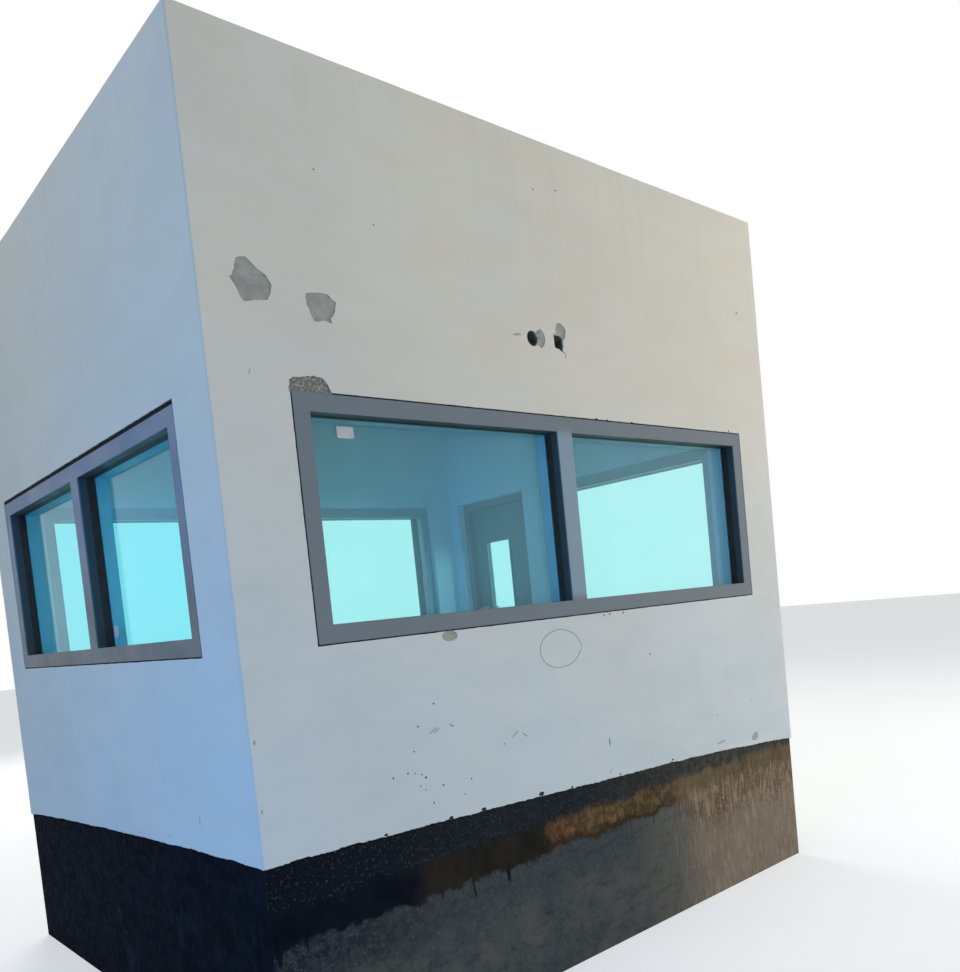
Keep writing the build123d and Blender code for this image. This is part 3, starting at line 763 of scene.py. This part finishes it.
# %% Cut the coat
gap, outside, inside = 0.007, 0.02, -0.03
wider = {"front": (0.002, 0, 0, 0), "left": (0, 0.014, 0, 0.018)}
blocks = []
for side in window:
    spare = [gap + more for more in wider.get(side, (0, 0, 0, 0))]
    shake = 0.013 if side == "left" else 0.010
    blocks.append(ragged_block(*over_window(side, spare, outside, inside), step=0.03, shake=shake, lump=0.05))
blocks.append(ragged_block((half_x + inside, *jamb[0].yz), (half_x + outside, *jamb[1].yz),
                           step=0.05, shake=0.003, lump=0.1))
hole_x, hole_z, hole_radius = 2.082 - half_x, head + 0.448, 0.046
hole = fresh(bpy.ops.mesh.primitive_cylinder_add, vertices=40, radius=hole_radius, depth=0.06,
             location=(hole_x, -half_y, hole_z), rotation=(math.pi / 2, 0, 0))
for cutter in [*blocks, hole, *cutter_of.values()]:
    modify(coat, "BOOLEAN", operation="DIFFERENCE", object=cutter, solver="EXACT")
throw_away(*blocks, hole)
place_piece(coat, "render_coat", wall_paint,
            stands_for=("front_render", "back_render", "left_render", "right_render"))

# %% [markdown]
# ## Mortar repairs
#
# The filled patches are rough mortar, left unpainted a few millimetres under the paint. Each is a plate
# cut to its outline by a Boolean, from a sheet that has been shaken into lumps first. Where the render broke
# away over the window, nobody filled it, so its plate is lumpier and takes the look of broken render.

# %% Mortar plates
def mortar_plate(name, sink, lumps, margin=0.01, step=0.006, thickness=0.006):
    """A rough plate of mortar inside an outline, its face sunk below the paint."""
    cutter = cutter_of[name]
    spots = [v.co for v in cutter.data.vertices]
    low_x, high_x = min(p.x for p in spots) - margin, max(p.x for p in spots) + margin
    low_z, high_z = min(p.z for p in spots) - margin, max(p.z for p in spots) + margin
    plate = fresh(bpy.ops.mesh.primitive_grid_add, size=1, x_subdivisions=int((high_x - low_x) / step),
                  y_subdivisions=int((high_z - low_z) / step), rotation=(math.pi / 2, 0, 0))
    set_down(plate, ((low_x + high_x) / 2, -half_y + sink, (low_z + high_z) / 2),
             (high_x - low_x, 1, high_z - low_z))
    roughen(plate, 0.05, lumps, middle_level=1.0)
    roughen(plate, 0.012, lumps * 0.6, middle_level=1.0)
    modify(plate, "SOLIDIFY", thickness=thickness, offset=-1)
    modify(plate, "BOOLEAN", operation="INTERSECT", object=cutter, solver="EXACT")
    return plate


sink_of = {"patch_one": 0.0045, "patch_two": 0.0045, "hole_smear": 0.003, "pocket_smear": 0.003,
           "sill_patch": 0.0025}
plates = [mortar_plate(name, sink, 0.003) for name, sink in sink_of.items()]
place_piece(join(*plates), "mortar_repairs", repair_mortar, stands_for=("mortar_patches",))
place_piece(mortar_plate("broken_corner", 0.003, 0.005), "broken_corner", broken_render)
throw_away(*cutter_of.values())

# %% [markdown]
# ## The dark joint round each window
#
# Between the frame and the render one looks into a dark joint, packed with foam and old bitumen. A real
# joint is a strip run round the frame, so it is modelled as one: a flat block, both its broad faces inset to
# the frame's outline and bridged into an opening.

# %% Joint strips
joint_filler, tree, shader, place = new_material("joint_filler")
crumbs = effect(tree, clouds, place, Scale=45.0)
feed(tree, shader, Base_Color=tint(tree, crumbs, (18, 20, 23), (38, 40, 42)), Roughness=0.9,
     Specular_IOR_Level=0.1)
relief(tree, shader, effect(tree, grain, place, Fine=300.0, Coarse=60.0), 0.002)

strip_width, under_frame, face_at, back_at = 0.04, 0.0005, -0.0095, -0.0145
strips = []
for side in window:
    low, high = over_window(side, [strip_width] * 4, face_at, back_at)
    strips.append(fresh(bpy.ops.mesh.primitive_cube_add, size=1, location=(low + high) / 2,
                        scale=high - low))
    edit()
    pick("FACE", lambda face: face.calc_area() > 0.1)
    bpy.ops.mesh.inset(thickness=strip_width - under_frame)
    bpy.ops.mesh.bridge_edge_loops()
    take_all()
    bpy.ops.mesh.normals_make_consistent(inside=False)
    edit(False)
place_piece(join(*strips), "joint_strips", joint_filler)

# %% [markdown]
# ## Splashes, scratches and pencil
#
# The walls carry drops of bitumen from painting the plinth, small chips and scratches, and pencil strokes of
# the builders. They are modelled as what lies on the wall: one flat drop, cut from a ball and roughened,
# then copied, stretched and turned for each mark, and seated on the wandering face of the render.

# %% One drop, copied to every mark
def stain(name, low, high, rough=0.9):
    """A dull finish between two colours, for marks on the wall."""
    material, tree, shader, place = new_material(name)
    mottle = effect(tree, clouds, place, Scale=120.0)
    feed(tree, shader, Base_Color=tint(tree, mottle, low, high), Roughness=rough,
         Specular_IOR_Level=0.15)
    relief(tree, shader, effect(tree, grain, place, Fine=500.0, Coarse=120.0), 0.0006)
    return material


drop = fresh(bpy.ops.mesh.primitive_ico_sphere_add, subdivisions=2, radius=0.5)
edit()
take_all()
bpy.ops.mesh.bisect(plane_co=(0, 0, 0), plane_no=(0, 1, 0), clear_outer=True, use_fill=True)
take_all()
stretch(1, 0.12, 1)
edit(False)
roughen(drop, 0.35, 0.35, direction="X")
roughen(drop, 0.35, 0.35, direction="Z")


def marks(name, finish, on_front, on_left=(), proud=0.006):
    """Copies of the drop on two walls: (along, height, length, width in mm, lean in degrees) for each."""
    copies = []
    for index, (along, height, length, width, lean) in enumerate([*on_front, *on_left]):
        front = index < len(on_front)
        start, way = ((along, -3, height), (0, 1, 0)) if front else ((-3, along, height), (1, 0, 0))
        spot = coat.ray_cast(start, way)[1]
        copies.append(copy_of(drop, spot, (length / 1000, proud, width / 1000),
                              (0, -math.radians(lean), 0 if front else -math.pi / 2)))
    place_piece(join(*copies), name, finish)


dots = [(-1.235, 1.719), (-1.353, 1.616), (-1.138, 1.593), (-1.124, 1.584), (-1.394, 1.493), (-1.541, 1.384),
        (-1.447, 1.390), (-1.403, 1.381), (-1.359, 1.366), (-1.335, 1.346), (-1.374, 1.308), (-1.344, 1.284),
        (-1.226, 1.284), (-1.029, 1.278), (-1.085, 1.205), (-1.300, 1.205), (-0.765, 1.422), (-0.094, 4.631),
        (0.103, 4.669), (-1.624, 4.372), (-1.300, 4.175), (0.612, 1.778), (1.553, 1.719), (1.774, 1.308),
        (1.318, 1.264)]
marks("bitumen_drops", stain("bitumen_drop", (30, 32, 36), (58, 60, 62), 0.7),
      [(x, z, 9 + 5 * (i % 3 == 0), 8 + 4 * (i % 4 == 1), 40 * i) for i, (x, z) in enumerate(dots)]
      + [(-1.197, 1.098, 32, 22, 10), (-0.962, 1.094, 36, 20, -8), (-0.512, 1.083, 44, 26, 5),
         (-1.620, 1.113, 24, 13, 0), (-2.150, 1.120, 22, 15, 0), (-0.250, 1.068, 20, 12, 0),
         (0.200, 1.056, 18, 11, 0), (0.750, 1.044, 22, 12, 0), (0.185, 2.072, 16, 9, 0),
         (0.243, 2.075, 22, 8, 8), (0.376, 2.073, 18, 9, 0), (0.288, 3.303, 26, 10, 0),
         (0.392, 3.304, 18, 8, 5), (0.641, 3.303, 24, 10, 0), (1.774, 3.312, 20, 12, 0)],
      [(-0.031, 1.090, 10, 9, 0), (-0.434, 1.108, 9, 9, 0), (-0.860, 1.143, 16, 6, 20)])
marks("pencil_strokes", stain("pencil", (86, 90, 98), (118, 121, 128), 0.6),
      [(-1.256, 1.580, 62, 5, 28), (-1.232, 1.576, 60, 5, 28), (-0.676, 1.461, 64, 5, 28),
       (-0.600, 1.446, 56, 5, -35), (0.129, 1.275, 11, 60, 0), (0.118, 1.093, 40, 4, 40),
       (-2.087, 3.363, 34, 3, 70)], [(-1.288, 1.276, 6, 70, 0)], proud=0.004)
marks("chips", stain("chipped_paint", (146, 146, 139), (168, 168, 162)),
      [(1.780, 1.028, 90, 60, 10), (2.020, 4.210, 34, 22, 20), (-0.344, 3.750, 70, 16, 8),
       (1.318, 1.060, 150, 14, 6), (-2.270, 1.693, 14, 26, 0), (-2.272, 1.378, 10, 20, 0)], proud=0.004)
throw_away(drop)

# %% [markdown]
# ## The pencil ring under the front window
#
# A flat ring is drawn on the wall with a pencil, as builders do to mark a spot. It is made as the pencil
# went: a circle squeezed flat, broken where the line starts, widened to a ribbon and laid on the wall's true
# face by Shrinkwrap.

# %% Pencil ring
half_width, half_height, inner_edge = 0.176, 0.1155, (0.983, 1, 0.974)
ring_x, ring_z = -0.235, 1.906
ring = fresh(bpy.ops.mesh.primitive_circle_add, vertices=96, radius=1, rotation=(math.pi / 2, 0, 0))
edit()
pick("EDGE", lambda edge: middle(edge).x > 0.5 and -0.16 < middle(edge).z < 0.02)
bpy.ops.mesh.delete(type="EDGE")
take_all()
stretch(half_width, 1, half_height)
pick("VERT", lambda v: v.co.x > 0.17 and v.co.z > 0)
pull((0.012, 0, -0.014), "SMOOTH", 0.06)
take_all()
bpy.ops.mesh.extrude_region_move()
stretch(*inner_edge)
take_all()
bpy.ops.transform.translate(value=(ring_x, -half_y - 0.01, ring_z))
edit(False)
roughen(ring, 0.12, 0.012, direction="Z")
modify(ring, "SHRINKWRAP", target=coat, wrap_method="PROJECT", use_project_y=True,
       use_positive_direction=True, use_negative_direction=False, offset=0.0005)
modify(ring, "SOLIDIFY", thickness=0.0006, offset=0)
place_piece(ring, "pencil_ring", bpy.data.materials["pencil"])

# %% [markdown]
# ## Two small labels on the glass
#
# Makers leave a paper label on new panes. Both are blank here. Each is a thin sheet whose one corner has
# come loose, turned up by a proportional move.

# %% Blank labels
paper, tree, shader, place = new_material("label_paper")
fibres = effect(tree, clouds, place, Scale=90.0)
feed(tree, shader, Base_Color=tint(tree, fibres, (180, 182, 190), (194, 196, 202)), Roughness=0.6)
relief(tree, shader, fibres, 0.0003, 0.4)
paper_thickness = 0.0004


def label(width, height, place, turn):
    """A thin sheet with its lower right corner loose, its face towards -Y before it is turned."""
    sheet = fresh(bpy.ops.mesh.primitive_grid_add, size=1, x_subdivisions=12, y_subdivisions=8,
                  rotation=(math.pi / 2, 0, 0))
    set_down(sheet, (0, 0, 0), (width, 1, height))
    edit()
    pick("VERT", lambda v: v.co.x > 0.49 * width and v.co.z < -0.49 * height)
    pull((-0.002, -0.008, 0.002), "SHARP", 0.035)
    edit(False)
    modify(sheet, "SOLIDIFY", thickness=paper_thickness, offset=0)
    return set_down(sheet, place, turn=(0, 0, turn))


front_pane, left_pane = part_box("front_glass")[0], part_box("left_glass")[0]
labels = [label(0.0995, 0.0595, (-1.536, front_pane.y - paper_thickness, 3.140), 0),
          label(0.075, 0.071, (left_pane.x - paper_thickness, -0.136, 2.272), -math.pi / 2)]
place_piece(join(*labels), "blank_labels", paper)

# %% [markdown]
# ## Screws and lock cylinders of the door
#
# The frame's hinges, roses and threshold are plain plates. Real ones are held by screws, and the lock has
# a cylinder with a keyway. One countersunk screw with a cross recess is modelled and copied: those in the
# leaf's plates ride on the door, the others on the building.

# %% One screw, many copies
def cut_slots(piece, *slots):
    """Cut bars out of a piece, each given as its place and its size."""
    for place, size in slots:
        bar = fresh(bpy.ops.mesh.primitive_cube_add, size=1, location=place, scale=size)
        modify(piece, "BOOLEAN", operation="DIFFERENCE", object=bar, solver="EXACT")
        throw_away(bar)


screw = fresh(bpy.ops.mesh.primitive_cylinder_add, vertices=20, radius=0.004, depth=0.003)
edit()
pick("EDGE", lambda edge: middle(edge).z > 0.0014)
bpy.ops.mesh.bevel(offset=0.0007, segments=2, affect="EDGES")
edit(False)
cut_slots(screw, ((0, 0, 0.0016), (0.0044, 0.0009, 0.002)), ((0, 0, 0.0016), (0.0009, 0.0044, 0.002)))
cylinder = fresh(bpy.ops.mesh.primitive_cylinder_add, vertices=32, radius=0.0085, depth=0.006)
edit()
pick("FACE", lambda face: face.normal.z > 0.9)
bpy.ops.mesh.inset(thickness=0.0012)
bpy.ops.mesh.inset(thickness=0.0003, depth=-0.0008)
pick("EDGE", lambda edge: middle(edge).z > 0.0029 and (middle(edge).xy).length > 0.008)
bpy.ops.mesh.bevel(offset=0.0005, segments=2, affect="EDGES")
edit(False)
cut_slots(cylinder, ((0, 0, 0.003), (0.0014, 0.0085, 0.004)))


def fixings(name, body, spots):
    """Copies of a screw or cylinder: (model, place, the way its head looks) for each."""
    copies = [copy_of(model, place, turn=Vector(facing).to_track_quat("Z", "Y").to_euler())
              for model, place, facing in spots]
    place_piece(join(*copies), name, brushed_steel, body)


wing_face, frame_wing, leaf_wing = jamb[1].x + 0.0026, 0.6150, 0.6600
hinge_screws = [hinge + step for hinge in (1.415, 2.2275, 3.040) for step in (-0.034, 0, 0.034)]
threshold_x, threshold_top = 2.163, 1.2078
lock_at, lever_height, lock_height = 1.430, 2.195, 2.105
plate_faces, cylinder_faces = ((2.2476, 1), (2.1874, -1)), ((2.2480, 1), (2.1870, -1))
fixings("frame_screws", "building",
        [(screw, (wing_face, frame_wing, z), (1, 0, 0)) for z in hinge_screws]
        + [(screw, (threshold_x, y, threshold_top), (0, 0, 1)) for y in (0.70, 0.95, 1.20, 1.44)])
fixings("leaf_screws", "door",
        [(screw, (wing_face, leaf_wing, z), (1, 0, 0)) for z in hinge_screws]
        + [(screw, (x, lock_at + step, z), (way, 0, 0)) for x, way in plate_faces
           for z in (lever_height, lock_height) for step in (-0.019, 0.019)]
        + [(cylinder, (x, lock_at, lock_height), (way, 0, 0)) for x, way in cylinder_faces])
throw_away(screw, cylinder)

# %% [markdown]
# ## Floor, lamps and background
#
# The booth stands on a plain pale floor in soft studio light. One large lamp faces the broad wall, one the
# back, and one the narrow wall from above. A cool one stands low to the left, because in the photograph the
# foot of that corner takes only the blue of the sky. What the camera, the glass and the metal see behind
# the booth is plain white.

# %% Floor
def in_sight(tree):
    """1 for what the camera sees, straight or through glass and metal, and 0 for what lights the scene."""
    path = put(tree, "LightPath").outputs
    mirrored = maths(tree, "MAXIMUM", path["Is Camera Ray"], path["Is Glossy Ray"])
    return maths(tree, "MAXIMUM", mirrored, path["Is Transmission Ray"])


floor = fresh(bpy.ops.mesh.primitive_plane_add, size=120, location=(0, 0, -0.001))
floor.name = "floor"
floor_paint, tree, shader, place = new_material("floor_paint")
scuff = effect(tree, clouds, place, Scale=0.4, Low=0.3, High=0.7)
feed(tree, shader, Base_Color=tint(tree, scuff, (222, 221, 218), (226, 225, 222)), Roughness=0.9)
added_glow = 0.42
glow = put(tree, "Emission", {"Color": (1.0, 1.0, 1.0, 1.0),
                              "Strength": times(tree, in_sight(tree), added_glow)})
paler = put(tree, "AddShader", {0: shader.outputs["BSDF"], 1: glow.outputs[0]})
tree.links.new(paler.outputs[0], tree.nodes["Material Output"].inputs["Surface"])
floor.data.materials.append(floor_paint)


# %% Lamps
def area_lamp(name, place, target, size, power, colour):
    """A large soft lamp that faces a point. Glass and metal mirror the plain background and not the lamp."""
    bpy.ops.object.light_add(type="AREA", location=place)
    lamp = bpy.context.object
    lamp.name = name
    lamp.rotation_euler = (Vector(target) - Vector(place)).to_track_quat("-Z", "Y").to_euler()
    lamp.data.shape = "SQUARE"
    lamp.data.size, lamp.data.energy, lamp.data.color = size, power, colour
    lamp.visible_glossy = lamp.visible_transmission = False


area_lamp("front_lamp", (10.5, -12.0, 4.6), (1.2, -1.9, 1.5), 7.0, 1430, (1.0, 0.95, 0.89))
area_lamp("left_lamp", (-7.0, 0.0, 8.5), (-2.3, 0, 4.0), 4.0, 120, (1.0, 0.85, 0.70))
area_lamp("low_lamp", (-9.0, -4.0, 2.4), (-2.3, -1.0, 0.9), 3.0, 300, (0.02, 0.38, 1.0))
area_lamp("back_lamp", (4.0, 12.0, 8.0), (0, 1.9, 2.4), 7.0, 750, (1.0, 0.985, 0.96))

# %% World
world = bpy.data.worlds.new("studio")
bpy.context.scene.world = world
world.use_nodes = True
tree = world.node_tree
tree.nodes.clear()
soft = put(tree, "Background", {"Color": (0.79, 0.92, 1.0, 1.0), "Strength": 0.37})
white = put(tree, "Background", {"Color": (1.0, 1.0, 1.0, 1.0), "Strength": 1.0})
choice = put(tree, "MixShader", {0: in_sight(tree), 1: soft.outputs[0], 2: white.outputs[0]})
put(tree, "OutputWorld", {"Surface": choice.outputs[0]})
print("floor, lamps and background ready")
